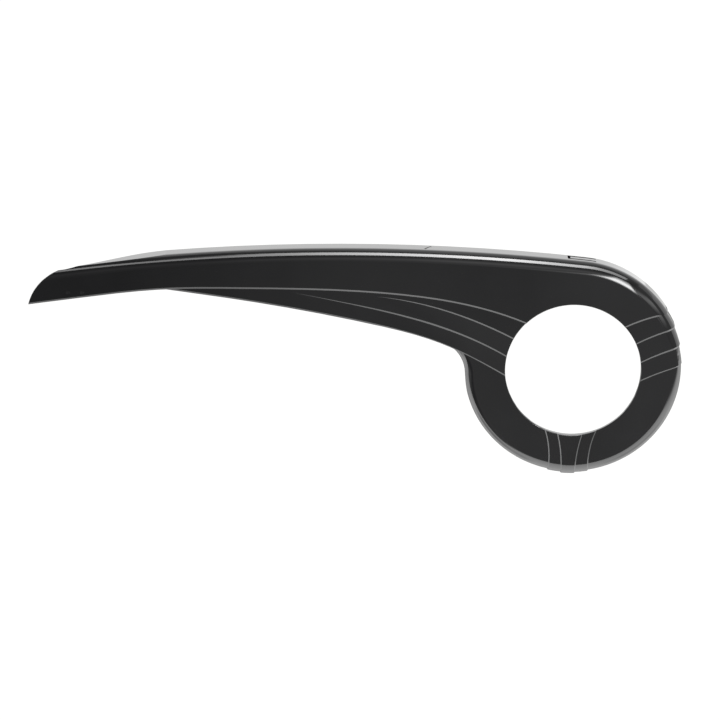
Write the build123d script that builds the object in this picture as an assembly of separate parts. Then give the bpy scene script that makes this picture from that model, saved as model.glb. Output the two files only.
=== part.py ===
from build123d import *
import os
from math import acos, atan2, cos, degrees, hypot, radians, sin, sqrt

# Bicycle chain guard, one moulding of black plastic.
# Frame: origin on the crank axis in the plane of the ring's outer face. +X points forward and +Z up.
# The outer face looks along -Y, and the bicycle is on the +Y side. Millimetres and degrees.
# Outlines are drawn on the face as (x, z), and angles go round the crank axis from +X towards +Z.

# Construction: how far lines run on past an edge, and how far cutting shapes reach
PAST = 6.0
FAR = 130.0
LONG = 4 * FAR
UNDER_BLADE = 70.0
UNDER_RING = -60.0

# Layers: blade and wing are skins of the same shell, raised by whole steps above the ring
STEP = 0.9
BEVEL_RUN = 1.5
WING_LEVEL = STEP
BLADE_LEVEL = 2 * STEP

# Shell: wall, rounded front edge, and how far back the rim reaches
WALL = 2.5
EDGE_RADIUS = 7.6
RIM_BACK = 20.2
RIM_SWEEP = 75.0
LOW_RIM_BACK = 9.5
LOW_RIM_TOP = -32.0
TAIL_RIM_BACK = 1.0
TAIL_RIM_LENGTH = 28.0

# Ring round the chainwheel, and its crank hole with a rounded mouth and a collar behind it
RING_RADIUS = 87.0
HOLE_RADIUS = 54.4
MOUTH_RADIUS = WALL - BLADE_LEVEL
COLLAR_WALL = 2.0
COLLAR_DEPTH = 3.2

# Blade: a long top arc that runs into the ring, and a lower edge that runs on to the hole
TOP_RADIUS = 1772.0
TOP_MEETS_RING = 83.6
TAIL_REACH = 436.0
BLADE_TIP = (-TAIL_REACH - PAST, 54.7)
BLADE_EDGE = [BLADE_TIP, (-378.5, 62.9), (-330.6, 67.7), (-270, 68.5), (-140.8, 63.4), (-81, 53.6)]
BLADE_EDGE_AT_HOLE = 134.4

# Tail: the blade is cut off by an arc and a straight slope that touches it
TAIL_RADIUS = 40.0
TAIL_HEIGHT = 45.2
TAIL_SLOPE = 6.8

# Wing: its free edge, which runs on over the ring as the lowest feather line, and its corner with the ring
WING_EDGE = [(-350, 71.5), (-258.6, 57.8), (-162.6, 39.2), (-102.5, 21.5), (-75.8, 8.2)]
WING_EDGE_AT_HOLE = 184.8
JUNCTION_RADIUS = 28.0
JUNCTION_LAP = 6.0
JUNCTION_RIM_BACK = 5.0
JUNCTION_RIM_END = 5.0

# Feathers of the wing: each line fades in at its start and is one step high where it meets the hole
UPPER_FEATHER = [(-158, 61.3), (-97.7, 48.6), (-73.7, 39.4)]
UPPER_FEATHER_AT_HOLE = 150.9
LOWER_FEATHER = [(-224.4, 64.8), (-151.1, 49.7), (-103.2, 35.8)]
LOWER_FEATHER_AT_HOLE = 168.0

# Front shingles of the ring: angle of each line at the hole and at the rim, and its bulge between them
FRONT_LINES = [(40.4, 32.0, 2.0), (22.7, 22.6, 1.5), (5.6, 12.1, 1.5), (-10.9, 1.7, 1.5)]
SHINGLE_TILT = 2.1
SHINGLE_SLIDE = 3.4
SHINGLE_DROP = 0.3

# Bottom bands of the ring: angle of each line at the hole and at the rim
BOTTOM_LINES = [(246.0, 257.2), (257.2, 264.2), (278.8, 271.8), (291.2, 278.8)]
BAND_BEVEL = 0.8

# Spring tongue in the top rim, which the bracket snaps behind
TONGUE_LEFT = -5.0
TONGUE_LENGTH = 20.4
TONGUE_WIDTH = 5.0
TONGUE_GAP = 2.2
TONGUE_FRONT = 9.4

# Screw bosses behind the tail, and the shallow sink marks they leave on the front
BOSS_COUNT = 2
BOSS_FROM_TAIL = 33.2
BOSS_Z = 64.8
BOSS_SPACING = 11.2
BOSS_RADIUS = 3.2
BOSS_BORE = 1.25
BOSS_FLOOR = 1.0
BOSS_BACK = 4.2
SINK_RADIUS = 1.4
SINK_DEPTH = 0.15

# Gate mark on the top rim: a slanted shallow groove
GATE_X = -116.5
GATE_Y = 13.0
GATE_LENGTH = 9.5
GATE_WIDTH = 1.6
GATE_DEPTH = 0.3
GATE_SLANT = 32.0


def polar(radius, angle):
    """Point of the face at a radius and angle round the crank axis."""
    return Vector(radius * cos(radians(angle)), radius * sin(radians(angle)))


def line_to_hole(points, angle):
    """Smooth line over the face that meets the crank hole at an angle and runs on into it."""
    end = polar(HOLE_RADIUS, angle)
    return Spline(*points, end + (end - Vector(points[-1])).normalized() * PAST)


def prism(face, front, back):
    """Straight prism of a face drawn on the front, from one depth to another."""
    return extrude(Pos(0, back, 0) * (Plane.XZ * face), amount=back - front, dir=(0, -1, 0))


def over(*edges, roof=FAR):
    """Face of everything above a chain of edges that runs from left to right, up to a roof."""
    start = edges[0] @ 0
    end = edges[-1] @ 1
    rest = Polyline(end, (end.X, roof), (start.X, roof), start)
    return make_face([*edges, *rest.edges()])


def under(line):
    """Face of everything below a line that runs from left to right."""
    start = line @ 0
    end = line @ 1
    floor = Polyline(end, (end.X, -FAR), (start.X, -FAR), start)
    return make_face([line, *floor.edges()])


def bevelled(face, front, back):
    """Prism whose lower side is bevelled by one step, with the bevel centred on the face's lower line."""
    lower = Pos(0, -BEVEL_RUN / 2) * face
    foot = Pos(0, front + STEP, 0) * (Plane.XZ * lower)
    bevel = extrude(foot, amount=hypot(STEP, BEVEL_RUN), dir=(0, -STEP, BEVEL_RUN))
    return bevel + prism(lower, front + STEP, back)


def eye(level):
    """Crank hole with a rounded mouth at a level, as the shape that cuts it."""
    lip = Vector(HOLE_RADIUS + MOUTH_RADIUS, -level)
    throat = Vector(HOLE_RADIUS, MOUTH_RADIUS - level)
    mouth = TangentArc(throat, lip, tangent=(0, -1))
    rest = Polyline(lip, (lip.X, -PAST), (0, -PAST), (0, FAR), (HOLE_RADIUS, FAR), throat)
    return revolve(make_face([mouth, *rest.edges()]), Axis.Y)


def rounded(face, level):
    """Dish of a face: flat front at a level, arcs of its front edge rounded, solid to the rim's back."""
    dish = prism(face, -level, RIM_BACK)
    front = dish.faces().sort_by(Axis.Y)[0]
    return fillet(front.edges().filter_by(GeomType.CIRCLE), EDGE_RADIUS + level)


def disc_form(level):
    """The ring as a full round dish, grown by a level."""
    return rounded(Circle(RING_RADIUS + level), level)


def blade_form(level):
    """Blade and upper ring as one dish that runs on past the tail, grown by a level."""
    grown = TOP_RADIUS + level - BLADE_LEVEL
    past_tail = degrees(acos((BLADE_TIP[0] - top_centre.X) / grown))
    ring = CenterArc((0, 0), RING_RADIUS + level, UNDER_RING, TOP_MEETS_RING - UNDER_RING)
    top = CenterArc(top_centre, grown, TOP_MEETS_RING, past_tail - TOP_MEETS_RING)
    rest = Polyline(top @ 1, (BLADE_TIP[0], 0), ring @ 0)
    return rounded(make_face([ring, top, *rest.edges()]), level)


def ring_form(level):
    """The ring with the hollow corner that leads into the wing, grown by a level."""
    ring = CenterArc((0, 0), RING_RADIUS + level, corner_angle, UNDER_BLADE - corner_angle)
    corner_start = corner_angle + 180 + corner_turn
    corner = CenterArc(corner_centre, JUNCTION_RADIUS - level, corner_start, -corner_turn)
    inside = corner @ 0 - wing_along * RING_RADIUS / 4
    rest = Polyline(ring @ 1, (inside.X, WING_EDGE[0][1]), inside, corner @ 0)
    return rounded(make_face([ring, *rest.edges(), corner]), level)


def front_line(at_hole, at_rim, bulge):
    """Line of a front shingle: an arc from inside the hole to outside the rim."""
    inner = polar(HOLE_RADIUS, at_hole)
    outer = polar(RING_RADIUS, at_rim)
    along = (outer - inner).normalized()
    middle = (inner + outer) / 2 + along.rotate(Axis.Z, 90) * bulge
    return ThreePointArc(inner - along * PAST, middle, outer + along * PAST)


def shingle(upper, lower, level, below):
    """Front shingle above a line: the ring's skin, tipped and slid so that its lower end stands proud."""
    middle = (upper[0] + upper[1] + lower[0] + lower[1]) / 4
    outward = polar(1, middle)
    aside = polar(SHINGLE_SLIDE, middle - 90)
    tipped = disc_form(level).rotate(Axis((0, 0, 0), (outward.X, 0, outward.Y)), -SHINGLE_TILT)
    edge = Pos(0, -BEVEL_RUN / 2) * below
    above = over(Line((0, 0), edge @ 0), edge)
    plate = Pos(aside.X, 0, aside.Y) * tipped & prism(above, -level, RIM_BACK)
    return bevel_side(plate, edge, STEP, BEVEL_RUN) - eye(level)


def bottom_line(at_hole, at_rim):
    """Line of a bottom band: an arc that leaves the rim square to it and bends to its place at the hole."""
    outer = polar(RING_RADIUS + PAST, at_rim)
    return TangentArc(outer, polar(HOLE_RADIUS, at_hole), tangent=outer * -1)


def bottom_band(left, right, level):
    """Raised band between two lines, its sides bevelled over face, rounded edge and rim."""
    ends = [Line(left @ 0, right @ 0), Line(left @ 1, (0, 0)), Line(right @ 1, (0, 0))]
    band = disc_form(level) & prism(make_face([left, right, *ends]), -level, RIM_BACK)
    band = bevel_side(band, left, BAND_BEVEL, BAND_BEVEL)
    return bevel_side(band, right, BAND_BEVEL, BAND_BEVEL) - eye(level)


def bevel_side(body, line, depth, run):
    """Bevel the side wall that stands on a line, over face, rounded edge and rim."""
    spot = line @ 0.5
    wall = body.faces().sort_by_distance((spot.X, RIM_BACK / 2, spot.Y))[0]
    outside = [edge for edge in wall.edges() if on_skin(edge @ 0.5)]
    return chamfer(outside, depth, run, reference=wall)


def on_skin(point):
    """Whether a point lies on the ring's outer skin, clear of the hole and of the rim's back."""
    return hypot(point.X, point.Z) > HOLE_RADIUS and point.Y < RIM_BACK - STEP


def feather(line, deep_at, fades_at):
    """Shallow pocket under a feather line: nothing at its start and one step deep at the hole."""
    start = line @ 0
    deep = polar(HOLE_RADIUS, deep_at)
    fade = polar(HOLE_RADIUS, fades_at)
    origin = Vector(start.X, -WING_LEVEL, start.Y)
    to_deep = Vector(deep.X, STEP - WING_LEVEL, deep.Y) - origin
    to_fade = Vector(fade.X, -WING_LEVEL, fade.Y) - origin
    floor = Plane(origin, x_dir=to_deep, z_dir=to_fade.cross(to_deep))
    in_front = extrude(floor * Rectangle(LONG, LONG), amount=PAST)
    top = Pos(0, -WING_LEVEL, 0) * (Plane.XZ * under(line))
    return in_front & extrude(top, amount=2 * hypot(STEP, BEVEL_RUN), dir=(0, STEP, -BEVEL_RUN))


def back_trim(flat_to, flat_back):
    """Profile that cuts a rim back: a level stretch, then a smooth sweep out to the full depth."""
    start = Vector(flat_to, flat_back)
    end = Vector(flat_to + RIM_SWEEP, RIM_BACK)
    third = Vector(RIM_SWEEP / 3, 0)
    sweep = Bezier(start, start + third, end - third, end)
    rest = Polyline(end, (end.X, RIM_BACK + PAST), (-LONG, RIM_BACK + PAST), (-LONG, flat_back), start)
    return make_face([sweep, *rest.edges()])


# Lines of the face, and the centre of the long top arc
blade_line = line_to_hole(BLADE_EDGE, BLADE_EDGE_AT_HOLE)
wing_line = line_to_hole(WING_EDGE, WING_EDGE_AT_HOLE)
front_lines = [front_line(*values) for values in FRONT_LINES]
bottom_lines = [bottom_line(*angles) for angles in BOTTOM_LINES]
top_centre = polar(TOP_RADIUS - RING_RADIUS - BLADE_LEVEL, TOP_MEETS_RING) * -1

# Hollow corner between wing and ring: an arc that touches both
wing_along = wing_line.tangent_at(Vector(WING_EDGE[-2]))
wing_down = wing_along.rotate(Axis.Z, -90)
wing_at_ring = Vector(WING_EDGE[-2]) - Vector(0, BEVEL_RUN / 2)
corner_reach = RING_RADIUS + JUNCTION_RADIUS
corner_turn = degrees(acos((wing_at_ring.dot(wing_down) + JUNCTION_RADIUS) / corner_reach))
corner_angle = degrees(atan2(wing_down.Y, wing_down.X)) - corner_turn
corner_centre = polar(corner_reach, corner_angle)
corner_end = Pos(corner_centre - wing_down * JUNCTION_RADIUS) * Rot(0, 0, corner_angle + corner_turn + 90)

# Areas of the face: above the blade's lower edge, above the wing's, and all that the tail's outline keeps
blade_area = over(blade_line, Line(blade_line @ 1, front_lines[0] @ 0), front_lines[0])
wing_area = over(wing_line, Line(wing_line @ 1, (0, 0)), roof=FAR - PAST)
tail_arc = CenterArc((TAIL_RADIUS - TAIL_REACH, TAIL_HEIGHT), TAIL_RADIUS, 90 + TAIL_SLOPE, 90 - TAIL_SLOPE)
tail_top = Line(tail_arc @ 0, tail_arc @ 0 + polar(LONG, TAIL_SLOPE))
tail_rest = Polyline(tail_top @ 1, (FAR, -FAR), (-TAIL_REACH, -FAR), tail_arc @ 1)
tail_area = make_face([tail_arc, tail_top, *tail_rest.edges()])

# Blade and upper ring
blade = blade_form(BLADE_LEVEL) & bevelled(blade_area, -BLADE_LEVEL, RIM_BACK)
blade -= blade_form(BLADE_LEVEL - WALL)
blade &= prism(tail_area, -PAST, FAR)
blade -= eye(BLADE_LEVEL)

# Wing, a plain sheet below the blade's lower edge
wing = bevelled(wing_area, -WING_LEVEL, WALL - WING_LEVEL) - prism(blade_area, -FAR, FAR)
wing -= eye(WING_LEVEL)

# Ring with its front shingles and bottom bands, hollowed, and ended under the wing
ring = ring_form(0) - eye(0)
for i in range(len(FRONT_LINES) - 1):
    level = STEP + (1 - i) * SHINGLE_DROP
    ring += shingle(FRONT_LINES[i], FRONT_LINES[i + 1], level, front_lines[i + 1])
for i in range(len(bottom_lines) // 2):
    ring += bottom_band(bottom_lines[i], bottom_lines[-1 - i], (i + 1) * STEP)
ring -= ring_form(-WALL)
ring -= prism(blade_area, -FAR, FAR)
ring -= prism(Pos(0, JUNCTION_LAP) * wing_area, -FAR, FAR)
ring -= prism(corner_end * Rectangle(FAR, FAR, align=(Align.MAX, Align.CENTER)), -FAR, FAR)

# Ring's rim cut back towards the hollow corner
downwards = Plane(origin=(-FAR, 0, 0), x_dir=(0, 0, -1), z_dir=(1, 0, 0))
corner_trim = downwards * back_trim(JUNCTION_RIM_END, JUNCTION_RIM_BACK)
ring -= extrude(corner_trim, amount=FAR - HOLE_RADIUS, dir=(1, 0, 0))

guard = blade + wing + ring

# Feather steps of the wing
upper_feather = line_to_hole(UPPER_FEATHER, UPPER_FEATHER_AT_HOLE)
lower_feather = line_to_hole(LOWER_FEATHER, LOWER_FEATHER_AT_HOLE)
guard -= feather(upper_feather, UPPER_FEATHER_AT_HOLE, LOWER_FEATHER_AT_HOLE)
guard -= feather(lower_feather, LOWER_FEATHER_AT_HOLE, WING_EDGE_AT_HOLE)

# Rim cut back at the tail, and below the crank where the chain runs out
tail_trim = Pos(0, 0, -FAR) * back_trim(TAIL_RIM_LENGTH - TAIL_REACH, TAIL_RIM_BACK)
guard -= extrude(tail_trim, amount=2 * FAR, dir=(0, 0, 1))
upwards = Plane(origin=(-FAR, 0, 0), x_dir=(0, 0, 1), z_dir=(-1, 0, 0))
guard -= extrude(upwards * back_trim(LOW_RIM_TOP, LOW_RIM_BACK), amount=2 * FAR, dir=(1, 0, 0))

# Collar behind the crank hole
collar = Circle(HOLE_RADIUS + COLLAR_WALL) - Circle(HOLE_RADIUS)
guard += prism(collar, MOUTH_RADIUS, COLLAR_DEPTH)

# Spring tongue: a slot on three sides of it, cut down through the top rim
low_corner = (Align.MIN, Align.MIN)
slot = Rectangle(TONGUE_LENGTH + TONGUE_GAP, TONGUE_WIDTH + 2 * TONGUE_GAP, align=low_corner)
slot -= Pos(TONGUE_GAP, TONGUE_GAP) * Rectangle(TONGUE_LENGTH, TONGUE_WIDTH, align=low_corner)
guard -= extrude(Pos(TONGUE_LEFT, TONGUE_FRONT, HOLE_RADIUS) * slot, amount=FAR, dir=(0, 0, 1))

# Gate mark on the top rim
gate_top = top_centre.Y + sqrt(TOP_RADIUS**2 - (GATE_X - top_centre.X) ** 2)
groove = Rectangle(GATE_WIDTH, GATE_LENGTH).rotate(Axis.Z, -GATE_SLANT)
guard -= extrude(Pos(GATE_X, GATE_Y, gate_top - GATE_DEPTH) * groove, amount=PAST, dir=(0, 0, 1))

# Screw bosses behind the tail, with their sink marks
sink_ball = (SINK_RADIUS**2 + SINK_DEPTH**2) / (2 * SINK_DEPTH)
sink_centre = SINK_DEPTH - BLADE_LEVEL - sink_ball
for i in range(BOSS_COUNT):
    boss_x = BOSS_FROM_TAIL - TAIL_REACH + i * BOSS_SPACING
    place = Pos(boss_x, BOSS_Z)
    guard += prism(place * Circle(BOSS_RADIUS), WALL / 2 - BLADE_LEVEL, BOSS_BACK)
    guard -= prism(place * Circle(BOSS_BORE), BOSS_FLOOR - BLADE_LEVEL, BOSS_BACK + PAST)
    guard -= Pos(boss_x, sink_centre, BOSS_Z) * Sphere(sink_ball)

os.makedirs("parts", exist_ok=True)
export_step(guard, "parts/chain_guard.step")
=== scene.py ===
# %% [markdown]
# # Bicycle chain guard
# A chain guard is one injection moulding of black plastic: a blade over the upper run of the chain,
# and a ring round the chainwheel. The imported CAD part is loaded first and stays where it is.
# Everything here is in metres, in the CAD part's own frame: +X forward, +Z up, the face towards -Y.

from collections import namedtuple
from math import cos, pi, radians, sin, sqrt

import bmesh
import bpy
from mathutils import Matrix, Vector


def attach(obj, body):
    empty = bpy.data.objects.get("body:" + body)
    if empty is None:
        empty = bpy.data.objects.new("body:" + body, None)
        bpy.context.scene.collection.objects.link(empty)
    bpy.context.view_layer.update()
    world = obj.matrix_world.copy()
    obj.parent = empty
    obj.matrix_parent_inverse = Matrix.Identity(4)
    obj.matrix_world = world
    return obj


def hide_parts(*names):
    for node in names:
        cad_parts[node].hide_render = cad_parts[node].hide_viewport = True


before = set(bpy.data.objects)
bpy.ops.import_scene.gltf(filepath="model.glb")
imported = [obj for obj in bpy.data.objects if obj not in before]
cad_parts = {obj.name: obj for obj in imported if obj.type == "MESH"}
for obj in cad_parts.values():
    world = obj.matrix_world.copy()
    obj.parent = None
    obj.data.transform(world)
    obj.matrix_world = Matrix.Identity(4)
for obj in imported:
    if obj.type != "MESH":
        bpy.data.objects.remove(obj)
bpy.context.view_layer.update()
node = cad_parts["chain_guard"]
print("packed chain guard:", len(node.data.polygons), "triangles")


# %% [markdown]
# ## Small helpers
# Colours are written as sRGB hex, as a picker shows them, and shaders want linear numbers.
# One function adds a node, sets its properties and inputs, and links it to the nodes before it.

# %% Helpers
MM = 0.001


def linear(hex_colour):
    """Linear RGBA of an sRGB hex colour."""
    channels = [int(hex_colour[i:i + 2], 16) / 255 for i in (1, 3, 5)]
    return [c / 12.92 if c <= 0.04045 else ((c + 0.055) / 1.055) ** 2.4 for c in channels] + [1.0]


def add_node(tree, kind, inputs=None, **settings):
    """Node of a kind, with its settings, and with each input set to a value or linked to a socket."""
    new = tree.nodes.new(kind)
    for name, value in settings.items():
        setattr(new, name, value)
    for name, value in (inputs or {}).items():
        if isinstance(value, bpy.types.NodeSocket):
            tree.links.new(value, new.inputs[name])
        else:
            new.inputs[name].default_value = value
    return new


def new_material(name):
    """Empty material and its node tree."""
    material = bpy.data.materials.new(name)
    material.use_nodes = True
    material.node_tree.nodes.clear()
    return material, material.node_tree


def finish_material(tree, shader):
    """Link a shader to the material's output."""
    add_node(tree, "ShaderNodeOutputMaterial", {"Surface": shader})


# %% [markdown]
# ## The skin of the moulding
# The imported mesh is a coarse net, and black gloss shows every flat of such a net as a wedge in its
# reflections. Subdivision would soften the crisp feather steps. But the skin follows a simple rule:
# every layer keeps one distance from a core, a plate with round edges. So a copy of the net is refined
# only where it bends, each new point is put at its layer's distance from the core, and the shading
# normals point straight away from the core.
# The sizes are those of the CAD part. The long top arc touches the ring, and so does the hollow corner
# between wing and ring, so their centres follow from the radii and the angles where they touch.

# %% Sizes of the moulding
EDGE_RADIUS = 7.6 * MM
RING_RADIUS = 87.0 * MM
TOP_RADIUS = 1770.2 * MM
TOP_MEETS_RING = 83.6
CORNER_RADIUS = 28.0 * MM
CORNER_MEETS_RING = 182.1917
SHINGLE_MIDDLES = (29.425, 15.75, 2.125)
SHINGLE_TILT = 2.1
SHINGLE_SLIDE = 3.4 * MM
HOLE_RADIUS = 54.4 * MM
MOUTH_RADIUS = 0.7 * MM
LAYER_LEVELS = (0.0, 0.9 * MM, 1.8 * MM)


def polar(radius, angle):
    """Point (x, z) of the face at a radius and an angle round the crank axis."""
    return Vector((radius * cos(radians(angle)), radius * sin(radians(angle))))


# %% [markdown]
# A core is kept as its turn, its place, the centre (x, z) and radius of its outline, and its side: a plate
# reaches from the outline inwards and a hollow outwards. The front shingles are the ring's own core,
# tipped and slid along the ring. The rounded mouth of the crank hole has a small core in each layer.

# %% Cores that the skins keep their distance from
PLATE = 1
HOLLOW = -1
UPRIGHT = Matrix.Identity(3)
CRANK_AXIS = Vector((0, 0))
Core = namedtuple("Core", "turn place centre radius side")


def shingle_core(middle):
    """Core of a front shingle: the ring's, tipped about its own radius and slid down along the ring."""
    outward = polar(1, middle)
    slide = polar(SHINGLE_SLIDE, middle - 90)
    turn = Matrix.Rotation(radians(-SHINGLE_TILT), 3, Vector((outward.x, 0, outward.y)))
    return Core(turn, Vector((slide.x, 0, slide.y)), CRANK_AXIS, RING_RADIUS - EDGE_RADIUS, PLATE)


def mouth_core(level):
    """Core of the crank hole's rounded mouth, in a layer at a level above the ring."""
    place = Vector((0, MOUTH_RADIUS - level - EDGE_RADIUS, 0))
    return Core(UPRIGHT, place, CRANK_AXIS, HOLE_RADIUS + MOUTH_RADIUS, HOLLOW)


top_centre = -polar(TOP_RADIUS - RING_RADIUS, TOP_MEETS_RING)
corner_centre = polar(RING_RADIUS + CORNER_RADIUS, CORNER_MEETS_RING)
CORES = [
    Core(UPRIGHT, Vector(), top_centre, TOP_RADIUS - EDGE_RADIUS, PLATE),
    Core(UPRIGHT, Vector(), CRANK_AXIS, RING_RADIUS - EDGE_RADIUS, PLATE),
    Core(UPRIGHT, Vector(), corner_centre, CORNER_RADIUS + EDGE_RADIUS, HOLLOW),
]
CORES += [shingle_core(middle) for middle in SHINGLE_MIDDLES]
CORES += [mouth_core(level) for level in LAYER_LEVELS]
print("cores of the skins:", len(CORES))


# %% [markdown]
# Which core a triangle belongs to is found by trying them all. Its corners have to be equally far from the
# core, its middle may not sag far towards it, and it has to face straight away from it or straight at it.
# A triangle that spans a wide bend may lean further, by as much as the ways to its corners spread.

# %% Find the skin of a triangle
SAME_REACH = 0.02 * MM
LEAST_REACH = 0.5 * MM
LEAN_LIMIT = radians(25)
SAG_LIMIT = 0.25
NO_SKIN = -1


def away(core, point):
    """Vector to a point from the nearest point of a core."""
    turn, place, centre, radius, side = core
    local = turn.transposed() @ (point - place)
    flat = Vector((local.x, local.z)) - centre
    sideways = flat.normalized() * side * max(0, side * (flat.length - radius))
    return turn @ Vector((sideways.x, min(0, local.y - EDGE_RADIUS), sideways.y))


def find_skin(face):
    """Number of the core that a face keeps its distance from, and that distance."""
    for number, core in enumerate(CORES):
        steps = [away(core, vert.co) for vert in face.verts]
        reaches = [step.length for step in steps]
        if max(reaches) - min(reaches) < SAME_REACH and min(reaches) > LEAST_REACH:
            reach = sum(reaches) / len(reaches)
            sag = reach - away(core, face.calc_center_median()).length
            middle = sum(steps, Vector())
            spread = max(middle.angle(step) for step in steps)
            lean = middle.angle(face.normal, 0)
            if abs(sag) < SAG_LIMIT * reach and min(lean, pi - lean) < LEAN_LIMIT + spread:
                return number, reach
    return NO_SKIN, 0.0


# %% [markdown]
# An edge along which the skin turns by more than a few degrees is halved, and its new point is moved out to
# the layer's distance from the core. A few passes bring every edge under the limit, and flat areas keep
# their large triangles.

# %% Refine the net where it bends
BEND_LIMIT = radians(4)
PASSES = 6


def bends(edge, skin):
    """Whether the skin turns too far along an edge."""
    ends = [vert.co for vert in edge.verts]
    skins = {face[skin] for face in edge.link_faces} - {NO_SKIN}
    return any(away(CORES[i], ends[0]).angle(away(CORES[i], ends[1])) > BEND_LIMIT for i in skins)


def refine(net, skin, reach):
    """Split the edges that bend too far, and put each new point at its layer's distance from the core."""
    for _ in range(PASSES):
        wide = [edge for edge in net.edges if bends(edge, skin)]
        made = bmesh.ops.subdivide_edges(net, edges=wide, cuts=1)["geom_inner"]
        for vert in (item for item in made if isinstance(item, bmesh.types.BMVert)):
            faces = [face for face in vert.link_faces if face[skin] != NO_SKIN]
            step = away(CORES[faces[0][skin]], vert.co)
            vert.co += step.normalized() * (faces[0][reach] - step.length)
        bmesh.ops.triangulate(net, faces=[face for face in net.faces if len(face.verts) > 3])


# %% [markdown]
# On a skin the shading normal is known exactly. On bevels and walls it is the mean of the faces that join
# smoothly, so that real edges stay sharp. The hidden side of the shell gets a material of its own.

# %% Shading normals and hidden side
SMOOTH_LIMIT = cos(radians(22))
FACES_BACK = 0.5


def corner_normal(loop, skin):
    """Shading normal at a face's corner: away from its core, or the mean of the smooth faces round it."""
    face = loop.face
    if face[skin] != NO_SKIN:
        step = away(CORES[face[skin]], loop.vert.co).normalized()
        return step if step.dot(face.normal) > 0 else -step
    smooth = [other for other in loop.vert.link_loops
              if other.face[skin] == NO_SKIN and other.face.normal.dot(face.normal) > SMOOTH_LIMIT]
    return sum((other.face.normal * other.calc_angle() for other in smooth), Vector()).normalized()


def is_inside(face, skin):
    """Whether a face is on the hidden side of the shell."""
    if face[skin] != NO_SKIN:
        return away(CORES[face[skin]], face.calc_center_median()).dot(face.normal) < 0
    return face.normal.y > FACES_BACK


# %% [markdown]
# The copy stands in for the CAD part in the picture. It has the same form and place, and the same box.

# %% Put the refined copy in the part's place
WELD = 0.001 * MM


def smooth_copy(source, name):
    """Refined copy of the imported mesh, as a new object with exact shading normals."""
    net = bmesh.new()
    net.from_mesh(source)
    bmesh.ops.remove_doubles(net, verts=net.verts, dist=WELD)
    skin = net.faces.layers.int.new("skin")
    reach = net.faces.layers.float.new("reach")
    for face in net.faces:
        face[skin], face[reach] = find_skin(face)
    refine(net, skin, reach)
    net.normal_update()
    for face in net.faces:
        face.smooth = True
        face.material_index = int(is_inside(face, skin))
    normals = [corner_normal(loop, skin) for face in net.faces for loop in face.loops]
    whole = sum(face.calc_area() for face in net.faces)
    on_skin = sum(face.calc_area() for face in net.faces if face[skin] != NO_SKIN)
    print(f"{name}: {len(net.faces)} triangles, {on_skin / whole:.1%} of the area on skins")
    mesh = bpy.data.meshes.new(name)
    net.to_mesh(mesh)
    net.free()
    for layer in ("skin", "reach"):
        mesh.attributes.remove(mesh.attributes[layer])
    mesh.normals_split_custom_set(normals)
    piece = bpy.data.objects.new(name, mesh)
    bpy.context.scene.collection.objects.link(piece)
    return piece


guard = smooth_copy(node.data, "moulded_guard")
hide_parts("chain_guard")
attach(guard, "root")


# %% [markdown]
# ## Gloss and satin black ABS
# The face of the guard comes out of a polished mould, so it is a smooth black ABS that mirrors the studio.
# Two things keep it from looking like glass: a very shallow orange peel, a few millimetres wide,
# and a faint haze of handling and dust that lifts the roughness in patches.
# The hidden side comes off a spark-eroded mould core, which leaves a fine satin grain.
# Both are the same plastic, so one function makes it, and each side sets its own relief and roughness.

# %% Black ABS out of a mould
ABS_IOR = 1.54
PATCH_WIDTH = 30 * MM


def moulded_abs(name, relief_width, relief_detail, relief_strength, relief_depth,
                patch_detail, patch_range, roughness_range, colours):
    """Black ABS with the fine relief of its mould, and with patches of other roughness and tone."""
    material, tree = new_material(name)
    place = add_node(tree, "ShaderNodeTexCoord").outputs["Object"]
    patch = add_node(tree, "ShaderNodeTexNoise", {
        "Vector": place, "Scale": 1 / PATCH_WIDTH, "Detail": patch_detail})
    relief = add_node(tree, "ShaderNodeTexNoise", {
        "Vector": place, "Scale": 1 / relief_width, "Detail": relief_detail})
    roughness = add_node(tree, "ShaderNodeMapRange", {
        "Value": patch.outputs["Fac"], "From Min": patch_range[0], "From Max": patch_range[1],
        "To Min": roughness_range[0], "To Max": roughness_range[1]})
    colour = add_node(tree, "ShaderNodeMix", {
        "Factor": patch.outputs["Fac"], "A": linear(colours[0]), "B": linear(colours[1])}, data_type="RGBA")
    bump = add_node(tree, "ShaderNodeBump", {
        "Height": relief.outputs["Fac"], "Strength": relief_strength, "Distance": relief_depth})
    shader = add_node(tree, "ShaderNodeBsdfPrincipled", {
        "Base Color": colour.outputs["Result"], "Roughness": roughness.outputs["Result"],
        "IOR": ABS_IOR, "Normal": bump.outputs["Normal"]})
    finish_material(tree, shader.outputs["BSDF"])
    return material


# %% Materials of the two sides
PEEL_WIDTH = 4 * MM
# Spark grain is about 0.1 mm wide. It is drawn coarser, so that it shows.
GRAIN_WIDTH = 0.6 * MM


def gloss_abs():
    """Black ABS from a polished mould: mirror-like, with orange peel and a faint haze."""
    return moulded_abs(
        "gloss_black_abs", relief_width=PEEL_WIDTH, relief_detail=1.0, relief_strength=0.04,
        relief_depth=0.02 * MM, patch_detail=4.0, patch_range=(0.35, 0.7), roughness_range=(0.05, 0.09),
        colours=("#161617", "#1b1b1c"))


def satin_abs():
    """Black ABS from a spark-eroded mould: an even satin with a fine grain."""
    return moulded_abs(
        "satin_black_abs", relief_width=GRAIN_WIDTH, relief_detail=2.0, relief_strength=0.35,
        relief_depth=0.05 * MM, patch_detail=3.0, patch_range=(0.3, 0.7), roughness_range=(0.38, 0.52),
        colours=("#191919", "#202021"))


for material in (gloss_abs(), satin_abs()):
    guard.data.materials.append(material)
    print("material:", material.name)


# %% [markdown]
# ## Camera
# The photograph is taken square to the face, a little from above, with a long lens.
# The lens is worked out from the width of the picture at the guard.

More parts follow.
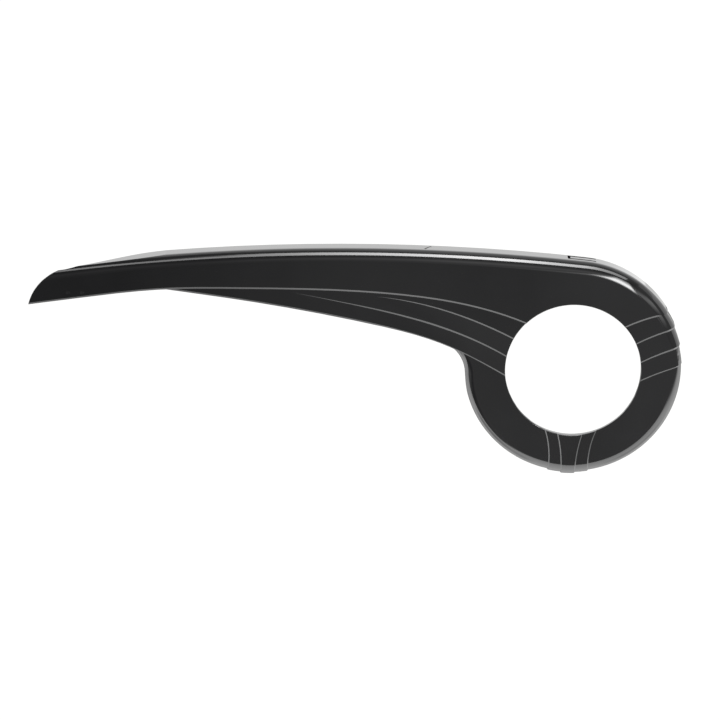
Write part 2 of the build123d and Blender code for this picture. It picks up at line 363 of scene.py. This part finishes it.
# %% Camera
CAMERA_AIM = Vector((-0.1706, 0.0, 0.0084))
CAMERA_DISTANCE = 3.0
CAMERA_ELEVATION = 16.5
VIEW_WIDTH = 0.576
SENSOR = 36.0


def direction(azimuth, elevation):
    """Unit vector out of the guard's face, turned to the right by an azimuth and raised by an elevation."""
    level = cos(radians(elevation))
    return Vector((sin(radians(azimuth)) * level, -cos(radians(azimuth)) * level, sin(radians(elevation))))


def look_from(obj, place, target):
    """Put a camera or lamp at a place, looking at a target with its top up."""
    obj.location = place
    obj.rotation_euler = (target - place).to_track_quat("-Z", "Y").to_euler()


to_camera = direction(azimuth=0, elevation=CAMERA_ELEVATION)
camera_data = bpy.data.cameras.new("camera")
camera_data.sensor_width = SENSOR
camera_data.lens = SENSOR * CAMERA_DISTANCE / VIEW_WIDTH
camera = bpy.data.objects.new("camera", camera_data)
bpy.context.scene.collection.objects.link(camera)
look_from(camera, CAMERA_AIM + CAMERA_DISTANCE * to_camera, CAMERA_AIM)
bpy.context.scene.camera = camera
print(f"camera: {camera_data.lens:.1f} mm lens at {CAMERA_DISTANCE} m")


# %% [markdown]
# ## White studio
# A white world lights colours as they are written and makes a white background.
# The floor is pale and lies under the guard, which hangs on its bracket.

# %% World and floor
WORLD_STRENGTH = 1.1
FLOOR_Z = -0.45
FLOOR_HALF = 8.0
SQUARE = ((-1, -1), (1, -1), (1, 1), (-1, 1))

world = bpy.data.worlds.new("white_studio")
world.use_nodes = True
world.node_tree.nodes.clear()
sky = add_node(world.node_tree, "ShaderNodeBackground", {
    "Color": linear("#ffffff"), "Strength": WORLD_STRENGTH})
add_node(world.node_tree, "ShaderNodeOutputWorld", {"Surface": sky.outputs["Background"]})
bpy.context.scene.world = world


def stage_mesh(name, corners, faces, material):
    """Stage piece from corners and faces, with a material."""
    mesh = bpy.data.meshes.new(name)
    mesh.from_pydata(corners, [], faces)
    mesh.materials.append(material)
    piece = bpy.data.objects.new(name, mesh)
    bpy.context.scene.collection.objects.link(piece)
    return piece


def floor_paper():
    """Matt white paper."""
    material, tree = new_material("white_paper")
    shader = add_node(tree, "ShaderNodeBsdfDiffuse", {"Color": linear("#fbfbfa")})
    finish_material(tree, shader.outputs["BSDF"])
    return material


floor_corners = [(x * FLOOR_HALF, y * FLOOR_HALF, FLOOR_Z) for x, y in SQUARE]
stage_mesh("floor", floor_corners, [(0, 1, 2, 3)], floor_paper())
print(f"floor: {2 * FLOOR_HALF} m wide, at {FLOOR_Z} m")


# %% [markdown]
# ## What the gloss mirrors
# Black gloss shows the room and not the lamps' light, so its look comes from what stands round it.
# A card is a sheet of painted reflection: it glows as each point of its mesh says, and only reflections see
# it.

# %% Cards
def painted_reflection_glow():
    """Painted reflection: an emission that glows as its mesh says."""
    material, tree = new_material("painted_reflection_glow")
    glow = add_node(tree, "ShaderNodeAttribute", attribute_name="glow")
    shader = add_node(tree, "ShaderNodeEmission", {"Strength": glow.outputs["Fac"]})
    finish_material(tree, shader.outputs["Emission"])
    return material


painted_reflection_material = painted_reflection_glow()


def card(name, rows, glow):
    """Sheet of painted reflection from rows of points, with a glow for each point, that only reflections
    see.
    """
    width = len(rows[0])
    faces = [(i * width + j, i * width + j + 1, (i + 1) * width + j + 1, (i + 1) * width + j)
             for i in range(len(rows) - 1) for j in range(width - 1)]
    piece = stage_mesh(name, [point for row in rows for point in row], faces, painted_reflection_material)
    piece.data.attributes.new("glow", "FLOAT", "POINT").data.foreach_set("value", glow)
    piece.visible_camera = False
    piece.visible_diffuse = False
    piece.visible_transmission = False
    piece.visible_shadow = False
    print(f"{name}: {len(glow)} points, glow {min(glow):.2f} to {max(glow):.2f}")


# %% [markdown]
# The flat face mirrors the floor in front, so a dark card of painted reflection lies there. The rounded
# edges and the small steps mirror the floor below, at the sides and behind. Gloss mirrors more the flatter
# one looks along it, so a card whose glow falls off as the gloss rises paints the edges one even tone of
# reflection.
# Lists of stops say how a tone changes across the floor, and the tone runs straight between them.

# %% Tones of the painted reflection on the floor
EDGE_TONE_BELOW = 0.205
EDGE_TONE_ASIDE = 0.15
# The edge tone is lifted from the middle out to the sides: by how much, and from where to where.
EDGE_LIFT_ASIDE = 0.15
LIFT_FROM = 0.1
LIFT_TO = 0.5
# Near edge of the dark card: x, and the y where the card starts.
DARK_EDGE = [(-1.5, -0.5), (-0.9, -0.35), (-0.22, -0.35), (0.0, -0.85), (0.25, -1.1), (0.6, -0.75),
             (1.5, -0.4)]
# Half width of its soft edge: x, and the width.
DARK_BLUR = [(0.1, 0.06), (0.6, 0.28)]
# Across the dark card: x, and how brightly it glows there.
DARK_ACROSS = [(-1.2, 0.6), (-0.9, 0.45), (-0.64, 0.11), (-0.5, 0.11), (-0.3, 0.28), (-0.2, 0.37),
               (-0.1, 0.4), (-0.05, 0.36), (0.07, 0.36), (0.15, 0.44)]
# Left of the ring's front it glows more towards the guard: change per metre, from a middle, up to a reach.
DARK_SLOPE = 0.4
DARK_SLOPE_TO_X = 0.1
DARK_MIDDLE_Y = -1.5
DARK_REACH = 0.5
# Where the feather steps mirror the floor its glow is held back, which paints darker reflections on the
# steps: x, and the share held back.
STEPS_HELD_BACK = [(-0.6, 0.0), (-0.45, 0.5), (-0.27, 0.5), (-0.22, 0.28), (-0.15, 0.28), (-0.1, 0.0),
                   (0.12, 0.0), (0.18, 0.3), (0.4, 0.3), (0.6, 0.0)]
# Middle of that strip of floor, and how far from it the strip is full and has faded out.
STEPS_Y = -0.1
STEPS_FULL = 0.08
STEPS_GONE = 0.2


def between(value, low, high):
    """Smooth share from 0 at a low value to 1 at a high one."""
    share = min(1, max(0, (value - low) / (high - low)))
    return share * share * (3 - 2 * share)


def along(stops, value):
    """Level at a value, straight between its neighbours in a list of stops."""
    for (low, level), (high, next_level) in zip(stops, stops[1:]):
        if value <= high:
            return level + (next_level - level) * max(0, value - low) / (high - low)
    return stops[-1][1]


# %% Lay the painted reflection cards on the floor
CARD_HALF = 3.4
CARD_BACK = 2.6
CARD_STEP = 0.05
CARD_LIFT = 0.01


def mirror_share(out):
    """Share of the light from a direction that the gloss sends to the camera, most at a flat angle."""
    face_on = ((ABS_IOR - 1) / (ABS_IOR + 1)) ** 2
    slope = sqrt(max(0, (1 + out.dot(to_camera)) / 2))
    return face_on + (1 - face_on) * (1 - slope) ** 5


def edge_reflection_glow(x, y):
    """Glow of the painted reflection that gives rounded edges and steps their even tone, at a place on the
    floor.
    """
    out = Vector((x, y, FLOOR_Z)).normalized()
    below = between(-out.z, sin(radians(CAMERA_ELEVATION)), 1)
    tone = EDGE_TONE_ASIDE + (EDGE_TONE_BELOW - EDGE_TONE_ASIDE) * below
    lift = EDGE_LIFT_ASIDE * between(abs(x), LIFT_FROM, LIFT_TO)
    held_back = along(STEPS_HELD_BACK, x) * (1 - between(abs(y - STEPS_Y), STEPS_FULL, STEPS_GONE))
    return tone / mirror_share(out) * (1 + lift) * (1 - held_back)


def dark_reflection_glow(x, y):
    """Glow of the dark painted reflection that the flat face mirrors, at a place on the floor."""
    glow = along(DARK_ACROSS, x)
    if x < DARK_SLOPE_TO_X:
        glow *= 1 + DARK_SLOPE * min(DARK_REACH, max(-DARK_REACH, y - DARK_MIDDLE_Y))
    return glow


def floor_reflection_glow(x, y):
    """Glow of the painted reflection cards at a place on the floor."""
    blur = along(DARK_BLUR, x)
    dark = between(along(DARK_EDGE, x) - y, -blur, blur)
    return edge_reflection_glow(x, y) * (1 - dark) + dark_reflection_glow(x, y) * dark


card_x = [-CARD_HALF + i * CARD_STEP for i in range(int(2 * CARD_HALF / CARD_STEP) + 1)]
card_y = [CARD_BACK - i * CARD_STEP for i in range(int((CARD_HALF + CARD_BACK) / CARD_STEP) + 1)]
# Painted reflection lying on the floor: an emission sheet that only the gloss shows.
card("floor_painted_reflection", [[(x, y, FLOOR_Z + CARD_LIFT) for x in card_x] for y in card_y],
     [floor_reflection_glow(x, y) for y in card_y for x in card_x])


# %% [markdown]
# In front and overhead a dark booth of painted reflection, that only reflections see, keeps the rounded top
# edge black, apart from the lamps it mirrors. A dark flag of painted reflection at the right closes the
# booth as far as the rim of the ring can mirror it.

# %% Dark booth of painted reflection
# Profile of the painted reflection booth seen from the side: y, z and how brightly it glows there.
BOOTH_REFLECTION_PROFILE = [
    (-CARD_HALF, FLOOR_Z, 1.0),
    (-CARD_HALF, 0.30, 1.2),
    (-CARD_HALF, 1.40, 2.2),
    (-CARD_HALF, 2.20, 1.2),
    (-2.60, 3.00, 0.5),
    (0.00, 3.00, 1.0),
    (1.20, 3.00, 2.5),
]
# Across the booth: x, and how brightly it glows there.
BOOTH_REFLECTION_ACROSS = [(-CARD_HALF, 0.10), (-0.6, 0.13), (-0.3, 0.26), (-0.1, 0.36), (0.2, 0.50), (0.6, 0.42),
                (1.4, 0.32), (CARD_HALF, 0.38)]
card("booth_painted_reflection", [[(x, y, z) for x, _ in BOOTH_REFLECTION_ACROSS] for y, z, _ in BOOTH_REFLECTION_PROFILE],
     [level * share for _, _, level in BOOTH_REFLECTION_PROFILE for _, share in BOOTH_REFLECTION_ACROSS])

# The flag is a sheet of painted reflection too, with one even glow.
FLAG_BACK = -0.75
FLAG_TOP = 3.0
FLAG_REFLECTION_GLOW = 0.42
card("right_painted_reflection", [[(CARD_HALF, y, z) for y in (-CARD_HALF, FLAG_BACK)] for z in (FLOOR_Z, FLAG_TOP)],
     [FLAG_REFLECTION_GLOW] * 4)


# %% [markdown]
# ## Softboxes
# Each softbox is an area lamp, and the gloss shows it as a bright shape. A plain area lamp is evenly bright,
# and its reflection would end in hard edges. Colour ramps over the lamp's face let its glow rise and fall.

# %% One softbox
EVEN = [(0.0, 1.0)]


def ramp_of(tree, value, stops):
    """Colour ramp over a value, from stops of position and level."""
    ramp = add_node(tree, "ShaderNodeValToRGB", {"Fac": value})
    elements = ramp.color_ramp.elements
    elements.remove(elements[-1])
    for i, (position, level) in enumerate(stops):
        element = elements[0] if i == 0 else elements.new(position)
        element.position = position
        element.color = (level, level, level, 1)
    return ramp.outputs["Color"]


def softbox(name, centre, target, size, brightness, across=EVEN, up=EVEN, roll=0):
    """Rectangular lamp that reflections see at a brightness, where 1 is white, graded over its face."""
    lamp = bpy.data.lights.new(name, "AREA")
    lamp.shape = "RECTANGLE"
    lamp.size, lamp.size_y = size
    lamp.energy = brightness * pi * size[0] * size[1]
    obj = bpy.data.objects.new(name, lamp)
    bpy.context.scene.collection.objects.link(obj)
    look_from(obj, Vector(centre), Vector(target))
    obj.rotation_euler.rotate_axis("Z", radians(roll))
    obj.visible_diffuse = False
    lamp.use_nodes = True
    tree = lamp.node_tree
    spot = add_node(tree, "ShaderNodeSeparateXYZ", {
        "Vector": add_node(tree, "ShaderNodeNewGeometry").outputs["Parametric"]})
    level = add_node(tree, "ShaderNodeMath", {
        0: ramp_of(tree, spot.outputs["X"], across), 1: ramp_of(tree, spot.outputs["Y"], up)},
        operation="MULTIPLY")
    tree.links.new(level.outputs["Value"], tree.nodes["Emission"].inputs["Strength"])
    print(f"{name}: {size[0]} m by {size[1]:.2f} m, brightness {brightness}")


# %% [markdown]
# The box overhead draws the bright line along the top edge, brightest behind the ring. Towards the tail the
# line gets thin, so a narrower box goes on from it. It hangs a little lower, because a reflection shows
# only one of two lamps that lie in one plane.

# %% Boxes overhead
TOP_BOX_HEIGHT = 1.09
TOP_BOX_NEAR = -0.12
TOP_BOX_FAR = -0.70
TOP_BOX_LENGTH = 1.8
TOP_BOX_BRIGHTNESS = 19.0
# Share of the full brightness along the box, from its left end to its right.
TOP_BOX_ALONG = [(0.0, 0.0), (0.22, 0.0), (0.28, 0.06), (0.33, 0.28), (0.36, 0.38), (0.42, 0.6),
                 (0.52, 0.92), (0.55, 0.98), (0.59, 0.64), (0.63, 0.52), (0.74, 0.31), (0.9, 0.22)]
TAIL_BOX_X = -0.55
TAIL_BOX_NEAR = -0.33
TAIL_BOX_LENGTH = 0.5
TAIL_BOX_DROP = 0.02
TAIL_BOX_ALONG = [(0.0, 0.0), (0.1, 0.05), (0.18, 0.08), (0.27, 0.19), (0.6, 0.19), (0.8, 0.17),
                  (1.0, 0.0)]


def overhead_box(name, x, height, length, near, stops):
    """Softbox that looks straight down, graded along its length."""
    y = (near + TOP_BOX_FAR) / 2
    softbox(name, (x, y, height), (x, y, 0), (length, near - TOP_BOX_FAR), TOP_BOX_BRIGHTNESS, across=stops)


overhead_box("top_softbox", 0, TOP_BOX_HEIGHT, TOP_BOX_LENGTH, TOP_BOX_NEAR, TOP_BOX_ALONG)
overhead_box("tail_softbox", TAIL_BOX_X, TOP_BOX_HEIGHT - TAIL_BOX_DROP, TAIL_BOX_LENGTH, TAIL_BOX_NEAR,
             TAIL_BOX_ALONG)


# %% [markdown]
# A tall window at the front right draws the white streak on the ring, and it is rolled as the streak runs.
# A weak fill beside it draws the streak on towards the shingles.

# %% Window and fill
CRANK = (0, 0, 0)
BOX_DISTANCE = 2.5
WINDOW_SIZE = (0.57, 2.77)
WINDOW_BRIGHTNESS = 20.0
WINDOW_ROLL = -33
WINDOW_ACROSS = [(0.0, 0.0), (0.12, 0.03), (0.18, 0.2), (0.25, 0.24), (0.32, 0.7), (0.36, 1.0),
                 (0.92, 0.95), (0.97, 0.8), (1.0, 0.1)]
WINDOW_UP = [(0.0, 0.0), (0.126, 0.02), (0.2, 0.12), (0.262, 0.4), (0.357, 0.85), (0.43, 1.0), (0.58, 0.95),
             (0.745, 0.48), (0.915, 0.17), (1.0, 0.15)]
FILL_SIZE = (1.6, 0.65)
FILL_BRIGHTNESS = 1.5
FILL_ROLL = 25
FILL_UP = [(0.0, 0.0), (0.4, 1.0), (0.6, 1.0), (1.0, 0.0)]

window_place = BOX_DISTANCE * direction(azimuth=17.2, elevation=13.8)
softbox("window_softbox", window_place, CRANK, WINDOW_SIZE, WINDOW_BRIGHTNESS,
        across=WINDOW_ACROSS, up=WINDOW_UP, roll=WINDOW_ROLL)
fill_place = BOX_DISTANCE * direction(azimuth=34, elevation=11)
softbox("fill_softbox", fill_place, CRANK, FILL_SIZE, FILL_BRIGHTNESS, up=FILL_UP, roll=FILL_ROLL)


# %% [markdown]
# Large weak boxes at the right and behind brighten the rim, which one sees at a flat angle.
# The one behind is a little weaker towards the tail.

# %% Boxes for the rim
RIGHT_SIZE = (2.3, 1.7)
RIGHT_BRIGHTNESS = 0.75
BACK_Y = 2.2
BACK_Z = 1.1
BACK_SIZE = (4.4, 2.2)
BACK_BRIGHTNESS = 0.82
BACK_ALONG = [(0.0, 1.0), (0.55, 1.0), (0.65, 0.85)]

right_place = BOX_DISTANCE * direction(azimuth=104, elevation=12)
softbox("right_softbox", right_place, CRANK, RIGHT_SIZE, RIGHT_BRIGHTNESS)
softbox("back_softbox", (0, BACK_Y, BACK_Z), (0, 0, BACK_Z), BACK_SIZE, BACK_BRIGHTNESS, across=BACK_ALONG)

bpy.context.scene.view_settings.view_transform = "Standard"
